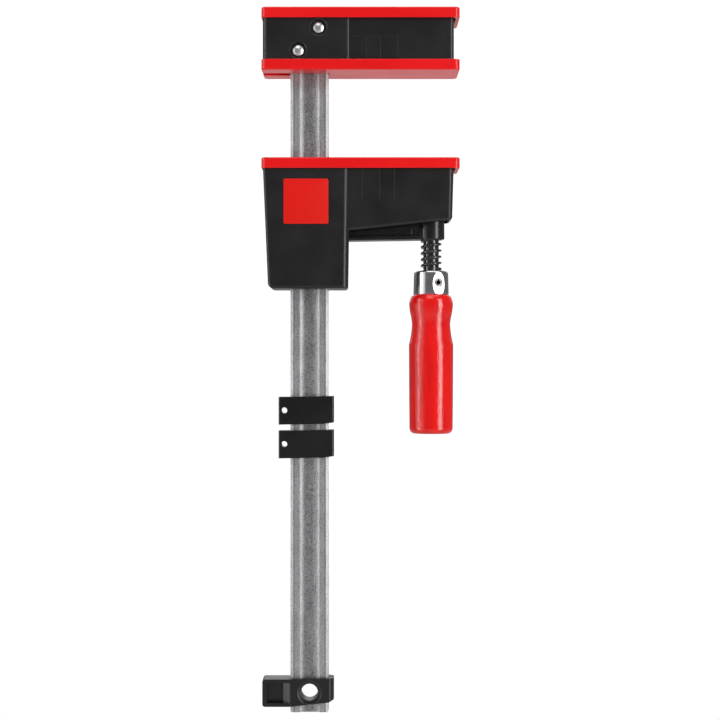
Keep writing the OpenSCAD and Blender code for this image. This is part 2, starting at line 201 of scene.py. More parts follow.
def turned(profile, centre=(0, 0, 0), steps=64, across=False, loop=False):
    """A profile of (radius, height) turned about Z, or about Y when it lies across."""
    bm = bmesh.new()
    verts = [bm.verts.new((r, 0, h)) for r, h in profile]
    edges = [bm.edges.new(pair) for pair in zip(verts, verts[1:])]
    if loop:
        edges.append(bm.edges.new((verts[-1], verts[0])))
    bmesh.ops.spin(
        bm, geom=verts + edges, cent=(0, 0, 0), axis=(0, 0, 1), angle=TURN, steps=steps,
        use_merge=True,
    )
    bmesh.ops.remove_doubles(bm, verts=bm.verts, dist=1e-7)
    bmesh.ops.recalc_face_normals(bm, faces=bm.faces)
    if across:
        rotated(bm, -math.pi / 2, "X")
    bmesh.ops.translate(bm, verts=bm.verts, vec=centre)
    return bm


def rod(radius, h0, h1):
    """The profile of a plain round rod."""
    return [(0, h0), (radius, h0), (radius, h1), (0, h1)]


def pin(x, z, radius, y0, y1, steps=64):
    """A plain cylinder that lies across, along Y."""
    return turned(rod(radius, y0, y1), (x, 0, z), steps, across=True)


def doubled(half):
    """A profile's lower half, closed by its mirror image above."""
    return half + [(r, -h) for r, h in reversed(half)]


def bevelled(bm, geom, radius, segments, affect):
    """Rounds the given edges or corners."""
    bmesh.ops.bevel(
        bm, geom=geom, offset=radius, offset_type="OFFSET", segments=segments, profile=0.5,
        affect=affect, clamp_overlap=True, material=-1,
    )


def rounded(bm, radius, where, segments):
    """Rounds the edges whose middle and direction pass the test."""
    picked = []
    for edge in bm.edges:
        a, b = (v.co for v in edge.verts)
        if where((a + b) / 2, (b - a).normalized()):
            picked.append(edge)
    if not picked:
        raise RuntimeError("there is no edge here to round")
    bevelled(bm, picked, radius, segments, "EDGES")


def upright(direction):
    return abs(direction.z) > 0.9


def crossing(direction):
    return abs(direction.y) > 0.9


def mirrored(points):
    """An outline's half given along -Y, closed by its mirror image along +Y."""
    return points + [(x, -y) for x, y in reversed(points)]


def new_object(name, data):
    """An object in the scene that holds a mesh, a light or a camera."""
    made = bpy.data.objects.new(name, data)
    bpy.context.collection.objects.link(made)
    return made


def loose_object(bm, name="work"):
    """An object that holds a bmesh's shape."""
    mesh = bpy.data.meshes.new(name)
    bm.to_mesh(mesh)
    bm.free()
    return new_object(name, mesh)


def combined(bm, operation, *others):
    """Cuts, joins or crosses closed shapes, one after the other, and gives back the result."""
    work = loose_object(bm)
    tools = [loose_object(other) for other in others]
    for tool in tools:
        step = work.modifiers.new("step", "BOOLEAN")
        step.operation = operation
        step.solver = "MANIFOLD"
        step.object = tool
    seen = work.evaluated_get(bpy.context.evaluated_depsgraph_get())
    result = bmesh.new()
    result.from_mesh(seen.to_mesh())
    seen.to_mesh_clear()
    for used in [work, *tools]:
        mesh = used.data
        bpy.data.objects.remove(used)
        bpy.data.meshes.remove(mesh)
    if not result.faces:
        raise RuntimeError("nothing is left of this shape")
    return result


def cut(bm, *tools):
    return combined(bm, "DIFFERENCE", *tools)


def joined(bm, *others):
    return combined(bm, "UNION", *others)


def piece(name, bm, body, node, finish, ease=0.0, crease=32.0):
    """Makes the finished object: smooth faces, eased edges, its body and its CAD node.

    The function that mixes a finish bears the name of its material slot.
    """
    bmesh.ops.remove_doubles(bm, verts=bm.verts, dist=2e-6)
    bmesh.ops.dissolve_degenerate(bm, edges=bm.edges, dist=1e-6)
    if ease:
        bmesh.ops.dissolve_limit(bm, angle_limit=math.radians(0.3), verts=bm.verts, edges=bm.edges)
    made = loose_object(bm, name)
    made.data.materials.append(finish())
    made.data.shade_smooth()
    if ease:
        edge = made.modifiers.new("eased edges", "BEVEL")
        edge.width = ease
        edge.segments = 2
        edge.limit_method = "ANGLE"
        edge.angle_limit = math.radians(crease)
        flats = made.modifiers.new("flat faces", "WEIGHTED_NORMAL")
        flats.keep_sharp = True
        flats.weight = 100
    else:
        made.data.set_sharp_from_angle(angle=math.radians(crease))
    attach(made, body)
    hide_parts(node)


def smooth_profile(points, steps):
    """A smooth line through (radius, height) points."""
    line = [Vector((r, h, 0)) for r, h in points]
    ends = [line[0], *line, line[-1]]
    made = [line[0]]
    for before, a, b, after in zip(ends, ends[1:], ends[2:], ends[3:]):
        made += interpolate_bezier(a, a + (b - before) / 6, b - (after - a) / 6, b, steps)[1:]
    return [(p.x, p.y) for p in made]


# ---- finishes


def wired(tree, kind, inputs, **settings):
    """Makes a shader node with its settings, and feeds its inputs with values or other nodes."""
    made = tree.nodes.new(kind)
    for name, value in settings.items():
        setattr(made, name, value)
    for socket, value in inputs.items():
        if isinstance(value, NodeSocket):
            tree.links.new(value, made.inputs[socket])
        else:
            made.inputs[socket].default_value = value
    return made


def carried(tree, source, low, high, start=0.0, end=1.0):
    """Carries a value from the range start to end over to the range low to high."""
    ends = {"From Min": start, "From Max": end, "To Min": low, "To Max": high}
    return wired(tree, "ShaderNodeMapRange", {"Value": source, **ends}).outputs["Result"]


def shown_to_camera(tree, lit, seen, output):
    """Lets the camera see one shader while every other ray meets the lit one."""
    camera_ray = tree.nodes.new("ShaderNodeLightPath").outputs["Is Camera Ray"]
    mix = wired(tree, "ShaderNodeMixShader", {"Fac": camera_ray, 1: lit, 2: seen})
    tree.links.new(mix.outputs["Shader"], tree.nodes[output].inputs["Surface"])


class Finish:
    """A material being mixed: a Principled shader, and patterns that read Object coordinates."""

    def __init__(self, name, **constants):
        self.material = bpy.data.materials.new(name)
        self.material.use_nodes = True
        self.tree = self.material.node_tree
        self.shader = self.tree.nodes["Principled BSDF"]
        for socket, value in constants.items():
            self.shader.inputs[socket.replace("_", " ")].default_value = value
        self.where = self.tree.nodes.new("ShaderNodeTexCoord").outputs["Object"]
        self.height = None

    def noise(self, scale, detail, stretch=(1, 1, 1), middle=(0, 0, 0)):
        """Cloudy pattern with features of about 1/scale metres, stretched about a middle."""
        laid = {"Vector": self.where, "Location": middle, "Scale": stretch}
        mapping = wired(self.tree, "ShaderNodeMapping", laid, vector_type="TEXTURE")
        cloud = {"Vector": mapping.outputs["Vector"], "Scale": scale, "Detail": detail}
        return wired(self.tree, "ShaderNodeTexNoise", cloud).outputs["Fac"]

    def across(self, start, end):
        """How far a point stands from x = start toward x = end, as a share."""
        parts = wired(self.tree, "ShaderNodeSeparateXYZ", {"Vector": self.where})
        return carried(self.tree, parts.outputs["X"], 0.0, 1.0, start, end)

    def bands(self, source, *stops):
        """Turns a pattern into colours, from stops of (position, colour)."""
        ramp = wired(self.tree, "ShaderNodeValToRGB", {"Fac": source})
        elements = ramp.color_ramp.elements
        elements.remove(elements[1])
        for index, (position, shown) in enumerate(stops):
            stop = elements.new(position) if index else elements[0]
            stop.position = position
            stop.color = (*shown, 1)
        return ramp.outputs["Color"]

    def multiplied(self, share, first, second):
        """Darkens one coloured pattern by a share of another."""
        return wired(
            self.tree, "ShaderNodeMix", {0: share, 6: first, 7: second}, data_type="RGBA",
            blend_type="MULTIPLY",
        ).outputs[2]

    def feed(self, socket, source):
        self.tree.links.new(source, self.shader.inputs[socket])

    def tones(self, source, *stops):
        """Colours the surface along a pattern; two colours alone stand at its low and high."""
        if len(stops) == 2:
            stops = zip((0.3, 0.7), stops)
        self.feed("Base Color", self.bands(source, *stops))

    def vary(self, socket, source, low, high, start=0.3, end=0.7):
        """Varies a value of the shader from low to high along a pattern."""
        self.feed(socket, carried(self.tree, source, low, high, start, end))

    def relief(self, source, distance, strength, sockets=("Normal",)):
        """Adds surface relief. Several calls build on one another."""
        below = {"Normal": self.height} if self.height else {}
        above = {"Strength": strength, "Distance": distance, "Height": source}
        self.height = wired(self.tree, "ShaderNodeBump", {**above, **below}).outputs["Normal"]
        for socket in sockets:
            self.feed(socket, self.height)


def shade(base, share):
    """A colour made darker or lighter."""
    return tuple(min(1.0, c * share) for c in base)


def tint(name):
    """One of the colours that a user can change."""
    return tuple(getattr(bpy.context.scene.clamp_finishes, name))


@cache
def galvanised_steel():
    """Zinc on drawn steel: grey spangle, fine grain, faint marks along the draw, and painted shade
    bands.
    """
    zinc = tint("zinc")
    f = Finish("galvanised_steel", Metallic=1.0, Roughness=0.5)
    grain = f.noise(900, 6)
    cloud = f.noise(160, 4, (1, 1, 2.2))
    draw = f.noise(1700, 3, (1, 1, 60))
    tone = f.bands(cloud, (0.3, shade(zinc, 0.86)), (0.7, shade(zinc, 1.1)))
    speck = f.bands(grain, (0.34, (0.42, 0.42, 0.43)), (0.5, (0.9, 0.9, 0.9)), (0.66, (1, 1, 1)))
    low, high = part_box("rail")
    # Painted light and shade in bands across the rail, as the lamps light its profile: a darker
    # left half of the groove, a lighter right wall, and dark lines where the flats meet the bevels.
    painted_band_shade = f.bands(f.across(low.x, high.x), *[(share, (t, t, t * 1.01)) for share, t in (
        (0.07, 0.86), (0.09, 0.62), (0.12, 0.98), (0.22, 0.98), (0.25, 0.66), (0.34, 0.60),
        (0.43, 0.68), (0.56, 0.68), (0.62, 0.94), (0.75, 0.84), (0.78, 1.0), (0.88, 0.98),
        (0.91, 0.60), (0.93, 0.78),
    )])
    f.feed("Base Color", f.multiplied(1.0, f.multiplied(0.85, tone, speck), painted_band_shade))
    f.vary("Roughness", grain, 0.40, 0.60)
    f.relief(draw, 0.00001, 0.5)
    f.relief(grain, 0.00003, 0.5)
    return f.material


def moulded_black(name, black, gloss, grain_scale):
    """Black moulded plastic with a fine spark-eroded grain and slight cloudiness."""
    f = Finish(name, Roughness=gloss)
    grain = f.noise(grain_scale, 3)
    cloud = f.noise(45, 3)
    f.tones(cloud, shade(black, 0.85), shade(black, 1.2))
    f.vary("Roughness", cloud, gloss - 0.04, gloss + 0.05)
    f.relief(cloud, 0.00012, 0.25)
    f.relief(grain, 0.00002, 0.3)
    return f.material


@cache
def black_plastic():
    return moulded_black("black_plastic", tint("cover_black"), 0.36, 2600)


@cache
def clip_plastic():
    return moulded_black("clip_plastic", tint("clip_black"), 0.30, 2000)


@cache
def red_plastic():
    """Glossy red moulding: smooth skin with a little flow in it."""
    red = tint("pad_red")
    f = Finish("red_plastic", Roughness=0.28)
    flow = f.noise(60, 4, (3, 1, 1))
    grain = f.noise(1900, 2)
    f.tones(flow, shade(red, 0.94), shade(red, 1.05))
    f.vary("Roughness", flow, 0.27, 0.33)
    f.relief(flow, 0.00003, 0.2)
    f.relief(grain, 0.000008, 0.4)
    return f.material


@cache
def badge_red():
    """Printed red of the badge: flat, a shade warmer than the pads."""
    red = tint("badge_red")
    f = Finish("badge_red", Roughness=0.42, Specular_IOR_Level=0.3)
    print_grain = f.noise(2400, 2)
    f.tones(print_grain, shade(red, 0.96), shade(red, 1.03))
    f.vary("Roughness", print_grain, 0.38, 0.48)
    f.relief(print_grain, 0.000006, 0.4)
    return f.material


@cache
def lacquered_wood():
    """Turned beech under red lacquer: long grain, and open pores under a clear coat."""
    red = tint("lacquer_red")
    f = Finish(
        "lacquered_wood", Roughness=0.45, Specular_IOR_Level=0.1, Coat_Weight=1.0,
        Coat_Roughness=0.05, Coat_IOR=1.7,
    )
    figure = f.noise(260, 4, (1, 1, 9))
    pores = f.noise(800, 3, (1, 1, 2.0))
    f.tones(figure, (0.28, shade(red, 0.80)), (0.5, red), (0.75, shade(red, 1.12)))
    f.vary("Roughness", pores, 0.38, 0.52)
    f.vary("Coat Weight", f.noise(1500, 2), 0.30, 1.0, 0.42, 0.55)
    f.relief(figure, 0.00005, 0.35, ("Normal", "Coat Normal"))
    f.relief(pores, 0.00020, 0.75, ("Normal", "Coat Normal"))
    return f.material


@cache
def chrome_ferrule():
    """Bright plated ferrule with fine marks of turning."""
    axis = (bpy.context.scene.clamp_screw.axis_x, 0, 0)
    f = Finish("chrome_ferrule", Base_Color=(0.62, 0.62, 0.63, 1), Metallic=1.0, Roughness=0.16)
    rings = f.noise(2600, 3, (60, 60, 1), middle=axis)
    smudge = f.noise(170, 4)
    f.vary("Roughness", smudge, 0.14, 0.26)
    f.relief(rings, 0.000006, 0.4)
    return f.material


@cache
def polished_rivet():
    """Closed rivet heads, polished on top with a faint smudge."""
    f = Finish("polished_rivet", Metallic=1.0, Roughness=0.32)
    smudge = f.noise(260, 2)
    f.tones(smudge, (0.72, 0.72, 0.72), (0.82, 0.82, 0.82))
    f.vary("Roughness", smudge, 0.28, 0.36)
    f.relief(smudge, 0.00001, 0.2)
    return f.material


@cache
def blackened_screw():
    """Blackened and oiled thread: dark oxide, worn a little brighter in specks."""
    f = Finish("blackened_screw", Metallic=0.6, Roughness=0.26, Coat_Weight=0.8, Coat_Roughness=0.1)
    wear = f.noise(500, 2)
    oxide, rubbed, bright = (0.022, 0.021, 0.022), (0.06, 0.059, 0.06), (0.12, 0.12, 0.12)
    f.tones(wear, (0.40, oxide), (0.65, rubbed), (0.75, bright))
    f.vary("Roughness", wear, 0.18, 0.32)
    f.relief(wear, 0.00001, 0.2)
    return f.material


@cache
def blackened_arm():
    """Malleable casting under thin black enamel: slightly wavy and glossy."""
    f = Finish(
        "blackened_arm", Roughness=0.32, Specular_IOR_Level=0.3, Coat_Weight=0.5,
        Coat_Roughness=0.12,
    )
    skin = f.noise(650, 4)
    lump = f.noise(150, 3)
    f.tones(lump, (0.004, 0.004, 0.0045), (0.009, 0.0085, 0.009))
    f.vary("Roughness", skin, 0.26, 0.46)
    f.relief(lump, 0.00020, 0.35, ("Normal", "Coat Normal"))
    f.relief(skin, 0.00006, 0.45, ("Normal", "Coat Normal"))
    return f.material


def bare_steel(name, low, high, gloss, scale):
    """Plain machined or rolled steel between two tones."""
    f = Finish(name, Metallic=1.0, Roughness=gloss)
    grain = f.noise(scale, 4)
    f.tones(grain, (low, low, low * 1.02), (high, high, high * 1.02))
    f.vary("Roughness", grain, gloss - 0.08, gloss + 0.1)
    f.relief(grain, 0.00002, 0.4)
    return f.material


@cache
def blackened_core():
    return bare_steel("blackened_core", 0.035, 0.075, 0.48, 600)


@cache
def hardened_steel():
    return bare_steel("hardened_steel", 0.30, 0.42, 0.30, 900)


@cache
def spring_steel():
    return bare_steel("spring_steel", 0.16, 0.34, 0.28, 1400)


@cache
def shoe_plastic():
    """Off-white sliding plastic, waxy and faintly mottled."""
    f = Finish("shoe_plastic", Roughness=0.5)
    mottle = f.noise(300, 3)
    f.tones(mottle, (0.62, 0.58, 0.48), (0.70, 0.66, 0.56))
    f.vary("Roughness", mottle, 0.45, 0.58)
    f.relief(mottle, 0.00005, 0.3)
    return f.material


# ---- the pieces


def rivet_places():
    """The two rivets stand on a diagonal of their box, a head's radius in from its corners."""
    low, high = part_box("fixed_jaw_rivets")
    return (high.x - RIVET_HEAD, high.z - RIVET_HEAD), (low.x + RIVET_HEAD, low.z + RIVET_HEAD)


def hanging_hole():
    """The middle of the hanging hole."""
    low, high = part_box("rail")
    return (low.x + high.x) / 2, low.z + 0.0157


def rail_window(gap, z0, z1):
    """A box round the rail, for what slides on it."""
    low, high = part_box("rail")
    return box((low.x - gap, low.y - gap, z0), (high.x + gap, high.y + gap, z1))


def rail_slot(z0, z1):
    """The slot that lets the rail into a jaw from its outer end."""
    half = bpy.context.scene.clamp_jaws.slot_half
    x0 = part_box("fixed_jaw_pad")[0].x - PAST
    return box((x0, -half, z0), (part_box("rail")[1].x + 0.0004, half, z1))


class CLAMP_OT_rail(Operator):
    """Build the drawn steel rail with its grooves, serrations and holes"""

    bl_idname = "clamp.rail"
    bl_label = "Rail"

    def execute(self, context):
        s = context.scene.clamp_rail
        low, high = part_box("rail")
        tall = high.z - low.z
        bm = plan(mirrored(self.half_section(s, low, high)), low.z, high.z)
        steps = int(tall / s.tooth_pitch) * 2
        step = tall / steps
        long_edges = [e for e in bm.edges if abs(e.verts[0].co.z - e.verts[1].co.z) > step]
        bmesh.ops.subdivide_edges(bm, edges=long_edges, cuts=steps - 1)
        for v in bm.verts:
            if v.co.x > high.x - 1e-6 and round((v.co.z - low.z) / step) % 2:
                v.co.x -= s.tooth_depth
        bmesh.ops.recalc_face_normals(bm, faces=bm.faces)
        rounded(bm, 0.0016, lambda m, d: (
            crossing(d) and m.z < low.z + NEAR and not low.x + 1e-4 < m.x < high.x - 5e-4
        ), 3)
        holes = [(*rivet, s.rivet_radius) for rivet in rivet_places()]
        holes.append((*hanging_hole(), s.clip_hole_radius))
        deep = 2 * PAST
        bm = cut(bm, *[pin(x, z, r, low.y - deep, high.y + deep, 48) for x, z, r in holes])
        piece("rail_bar", bm, "rail", "rail", galvanised_steel, crease=20)
        return {"FINISHED"}

    def half_section(self, s, low, high):
        """Half the rail's outline: bevelled corners, and a groove with hollow walls and a flat."""
        middle = (low.x + high.x) / 2
        run = s.groove_width / 2 - s.groove_flat
        steep = 2 * math.atan(s.groove_depth / run)
        reach = run / math.sin(steep)
        bottom = low.y + s.groove_depth
        wall = [
            (s.groove_flat + reach * math.sin(a), bottom - reach * (1 - math.cos(a)))
            for a in (steep * (1 - part / 9) for part in range(10))
        ]
        return [
            (low.x, low.y + s.bevel_depth), (low.x + s.bevel_width, low.y),
            *[(middle - x, y) for x, y in wall], *[(middle + x, y) for x, y in reversed(wall)],
            (high.x - s.bevel_width, low.y), (high.x, low.y + s.bevel_depth),
        ]


class CLAMP_OT_pads(Operator):
    """Build the three red pads, each a shallow tray with a slot for the rail"""

    bl_idname = "clamp.pads"
    bl_label = "Pads"

    def execute(self, context):
        for node, body, face_up in (
            ("fixed_jaw_pad", "rail", False),
            ("fixed_jaw_back_pad", "rail", True),
            ("moving_jaw_pad", "moving_jaw", True),
        ):
            self.pad(context.scene.clamp_jaws, node, body, face_up)
        return {"FINISHED"}

    def pad(self, s, node, body, face_up):
        low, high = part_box(node)
        face, inward = (high.z, -1) if face_up else (low.z, 1)
        bm = plan(mirrored([(low.x, low.y), (high.x, low.y)]), low.z, high.z)
        rounded(bm, s.pad_corner, lambda m, d: upright(d), 8)
        rounded(bm, 0.0011, lambda m, d: abs(m.z - face) < 1e-6 and not upright(d), 4)
        cover_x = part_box("fixed_jaw_cover")[0].x
        tray = plan(
            mirrored([(cover_x, -s.cover_half), (high.x - 0.003, -s.cover_half)]),
            *sorted((face + inward * s.pad_plate, face + inward * 0.02)),
        )
        rounded(tray, s.pad_corner, lambda m, d: upright(d), 8)
        bm = cut(bm, tray, rail_slot(low.z - PAST, high.z + PAST))
        piece(node + "_moulding", bm, body, node, red_plastic, ease=0.00035)


def cover_plan(low, high, inset=0.0, drafted=True):
    """Half outline of a cover from above: full width beside the rail, narrower along the nose."""
    s = bpy.context.scene.clamp_jaws
    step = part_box("rail")[1].x + s.step_past_rail
    wide, narrow = s.cover_half - inset, s.nose_half - inset
    shoulder = [(step - inset, -wide)]
    if drafted:
        shoulder = [
            (step - 0.0125, -wide), (step - 0.0024, 0.0004 - wide),
            (step - 0.0005, -narrow - 0.0002),
        ]
    return mirrored([
        (low.x + inset, -wide), *shoulder, (step - inset, -narrow), (high.x - inset, -narrow),
    ])


def nose_panels(spans, z0, z1):
    """Low raised panels on both sides of a nose."""
    s = bpy.context.scene.clamp_jaws
    made = []
    for x0, x1 in spans:
        for way in (-1, 1):
            outer = way * (s.nose_half + s.panel_proud)
            y0, y1 = sorted((outer, way * (s.nose_half - 0.0006)))
            panel = box((x0, y0, z0), (x1, y1, z1))
            rounded(panel, 0.0007, lambda m, d: crossing(d), 3)
            rounded(panel, 0.00028, lambda m, d: abs(m.y - outer) < 1e-6 and abs(d.y) < 0.5, 2)
            made.append(panel)
    return made


class CLAMP_OT_fixed_cover(Operator):
    """Build the fixed jaw's moulded cover with its rivet wells and nose panels"""

    bl_idname = "clamp.fixed_cover"
    bl_label = "Fixed jaw cover"

    def execute(self, context):
        s = context.scene.clamp_jaws
        low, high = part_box("fixed_jaw_cover")
        skin = 0.0015
        bm = plan(cover_plan(low, high), low.z, high.z)
        rounded(bm, 0.004, lambda m, d: upright(d) and m.x < low.x + NEAR, 8)
        rounded(bm, 0.003, lambda m, d: upright(d) and m.x > high.x - NEAR, 8)
        hollow = plan(cover_plan(low, high, s.wall, False), low.z + skin, high.z - skin)
        rounded(hollow, 0.002, lambda m, d: (
            upright(d) and not low.x + 0.01 <= m.x <= high.x - 0.01
        ), 4)
        panels = ((-0.0315, -0.0205), (-0.0200, -0.0100), (-0.0085, 0.0030))
        bm = cut(
            joined(bm, *nose_panels(panels, 0.009, 0.026)), hollow,
            rail_slot(low.z - PAST, low.z + skin + PAST),
            rail_slot(high.z - skin - PAST, high.z + PAST),
            *[self.well(s.well_radius, s.cover_half, x, z) for x, z in rivet_places()],
        )
        piece("fixed_jaw_moulding", bm, "rail", "fixed_jaw_cover", black_plastic, ease=0.0003)
        return {"FINISHED"}

    def well(self, r, half, x, z):
        """A round well through both walls, with a small chamfer at each surface."""
        wide = r + 0.0017
        profile = doubled([(0, -half - PAST), (wide, -half - PAST), (r, 0.0007 - half)])
        return turned(profile, (x, 0, z), 72, across=True)


class CLAMP_OT_rivets(Operator):
    """Build the two closed rivets with dimpled heads"""

    bl_idname = "clamp.rivets"
    bl_label = "Rivets"

    def execute(self, context):
        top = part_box("fixed_jaw_rivets")[1].y
        seat = top - 0.002
        crown = (
            (0, 0.0001), (0.0003, 0.00008), (0.0006, 0), (0.0010, 0.00005), (0.0016, 0.00015),
            (0.0022, 0.00030), (0.0028, 0.00050), (0.0034, 0.00076), (0.0039, 0.00105),
            (0.0042, 0.00130), (0.0044, 0.0016),
        )
        profile = doubled([
            *[(r, top - drop) for r, drop in crown], (RIVET_HEAD, seat + 0.0001),
            (RIVET_HEAD, seat), (context.scene.clamp_rail.rivet_radius, seat),
        ])
        bm = joined(*[turned(profile, (x, 0, z), 64, across=True) for x, z in rivet_places()])
        piece("rivet_pair", bm, "rail", "fixed_jaw_rivets", polished_rivet, crease=40)
        return {"FINISHED"}


def drafted_box(ends, half, top, feet, lean=0.0, inset=0.0):
    """A box whose ends draw in toward its foot, and whose foot can slope from end to end."""
    (x0, x1), (z0, z1) = ends, feet
    outline = [
        (x0 + lean + inset, z0 + inset), (x1 - 0.0013 - inset, z1 + inset),
        (x1 - inset, top), (x0 + inset, top),
    ]
    return side(outline, inset - half, half - inset)


class CLAMP_OT_moving_cover(Operator):
    """Build the moving jaw's moulded cover, deep at the rail and shallow at the nose"""

    bl_idname = "clamp.moving_cover"
    bl_label = "Moving jaw cover"

    def execute(self, context):
        s = context.scene.clamp_jaws
        low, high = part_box("moving_jaw_cover")
        panels = ((-0.0325, -0.0235), (-0.0225, -0.0105), (-0.0085, 0.0005))
        step_x, root_x, lean = -0.0332, -0.0392, 0.0041  # the step from deep to shallow
        nose_root, nose_end = -0.1197, -0.1117
        hair = 0.00003  # keeps two crossed boxes from sharing a face
        deep, ends, nose_ends = (low.z, low.z), (low.x, step_x), (root_x, high.x)
        below_top = high.z - 0.001

        body = drafted_box(ends, s.cover_half, high.z, deep, lean)
        rounded(body, 0.0042, lambda m, d: (
            crossing(d) and m.x < step_x - 0.01 and m.z < below_top
        ), 8)
        rounded(body, 0.0025, lambda m, d: (
            crossing(d) and m.x > step_x - 0.002 and m.z < below_top
        ), 6)
        rounded(body, 0.0024, lambda m, d: abs(d.y) < 0.5 and m.z < below_top, 8)
        soft_edge = drafted_box(
            (low.x - 0.002, step_x + hair), s.cover_half + hair, high.z + PAST,
            (low.z - PAST, low.z - PAST),
        )
        rounded(soft_edge, 0.0048, lambda m, d: abs(d.z) > 0.5 and m.x > step_x - 0.002, 8)

        nose = drafted_box(nose_ends, s.nose_half, high.z, (nose_root - 0.0006, nose_end))
        rounded(nose, 0.0020, lambda m, d: m.x > step_x and m.z < below_top, 6)
        soft_end = drafted_box(
            (root_x - 0.002, high.x + hair), s.nose_half + hair, high.z + PAST,
            (nose_root - 0.002, nose_end - PAST),
        )
        rounded(soft_end, 0.0038, lambda m, d: abs(d.z) > 0.5 and m.x > step_x, 8)

        under_top, inner_half = high.z - s.wall, s.nose_half - s.wall
        nose_room = (nose_root + 0.008, nose_end + 0.006)
        badge_low, badge_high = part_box("jaw_badge")
        fit = Vector((0.0001, 0, 0.0001))
        bm = cut(
            joined(
                combined(body, "INTERSECT", soft_edge), combined(nose, "INTERSECT", soft_end),
                *nose_panels(panels, -0.097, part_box("moving_jaw_pad")[0].z),
            ),
            drafted_box(ends, s.cover_half, under_top, deep, lean, s.wall),
            drafted_box(nose_ends, s.nose_half, under_top, nose_room, inset=s.wall),
            box((step_x + 0.0001, -inner_half, nose_root - 0.004),
                (high.x - s.wall - 0.0013, inner_half, nose_end + 0.014)),
            box((step_x - s.wall - 0.003, -0.0085, -0.149),
                (step_x + 0.002, 0.0085, nose_root + 0.006)),
            rail_window(0.0005, low.z - PAST, high.z + PAST),
            rail_slot(under_top - 0.0001, high.z + PAST),
            box((badge_low - fit) + Vector((0, -0.009, 0)), badge_high + fit),
        )
        piece(
            "moving_jaw_moulding", bm, "moving_jaw", "moving_jaw_cover", black_plastic, ease=0.0003
        )
        return {"FINISHED"}


class CLAMP_OT_badge(Operator):
    """Build the plain square badge let into the moving jaw"""

    bl_idname = "clamp.badge"
    bl_label = "Badge"

    def execute(self, context):
        low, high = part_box("jaw_badge")
        bm = box(low, high)
        rounded(bm, 0.0012, lambda m, d: crossing(d), 5)
        rounded(bm, 0.00018, lambda m, d: m.y < low.y + 1e-6, 2)
        piece("plain_badge", bm, "moving_jaw", "jaw_badge", badge_red)
        return {"FINISHED"}


class CLAMP_OT_slide_arm(Operator):
    """Build the cast slide arm: head round the rail, flanged web and threaded boss"""

    bl_idname = "clamp.slide_arm"
    bl_label = "Slide arm"

    def execute(self, context):
        t = context.scene.clamp_screw
        low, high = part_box("slide_arm")
        axis, head_x1 = t.axis_x, -0.0395
        root = head_x1 - 0.001
        r, z0, z1 = high.x - axis, low.z + 0.001, -0.104
        head = box(low, (head_x1, high.y, high.z))
        rounded(head, 0.0015, lambda m, d: True, 3)
        foot = [(root, low.z), (axis, z0)]
        web = side([*foot, (axis, z1 - 0.002), (root, high.z - 0.004)], -0.005, 0.005)
        flange = side([*foot, (axis, low.z + 0.0045), (root, low.z + 0.0035)], -0.008, 0.008)
        rounded(flange, 0.0009, lambda m, d: abs(m.y) > 0.007 and abs(d.x) > 0.9, 3)
        boss = turned([
            (0, z0), (r - 0.0012, z0), (r - 0.0003, z0 + 0.0004), (r, z0 + 0.0013),
            (r, z1 - 0.0012), (r - 0.0012, z1), (0, z1),
        ], (axis, 0, 0), 96)
        pip = turned(
            [(0, -0.1224), (0.0006, -0.1222), (0.0007, -0.1216), (0.0007, -0.1178), (0, -0.1178)],
            (0.0133, -0.0053, 0), 24,
        )
        bore = t.thread_radius + 0.00006
        mouth = bore + 0.0014
        threaded = turned([
            (0, z0 - PAST), (mouth, z0 - PAST), (bore, z0 + 0.0004), (bore, z1 - 0.0004),
            (mouth, z1 + PAST), (0, z1 + PAST),
        ], (axis, 0, 0), 96)
        bm = cut(
            joined(head, web, flange, boss, pip), rail_window(0.0006, low.z - PAST, high.z + PAST),
            threaded, *[pin(x, z, GRIP_PIN, -0.012, 0.012, 48) for x, z in self.pin_places()],
        )
        piece("cast_arm", bm, "slide_arm", "slide_arm", blackened_arm, ease=0.00025, crease=40)
        return {"FINISHED"}

    def pin_places(self):
        """The grip pins lie on a diagonal of their box."""
        low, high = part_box("arm_grip_pins")
        return (low.x + GRIP_PIN, high.z - GRIP_PIN), (high.x - GRIP_PIN, low.z + GRIP_PIN)


def turned_to_pin(bm):
    """Carries a shape made about the Z axis to the pin's angle, height and place."""
    t = bpy.context.scene.clamp_screw
    low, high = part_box("ferrule_pin")
    rotated(bm, t.pin_turn, "Z")
    bmesh.ops.translate(bm, verts=bm.verts, vec=(t.axis_x, 0, (low.z + high.z) / 2))
    return bm


def pin_hole():
    """The hole for the pin, through ferrule, handle and screw."""
    return turned_to_pin(pin(0, 0, bpy.context.scene.clamp_screw.pin_radius, -0.02, 0.02))


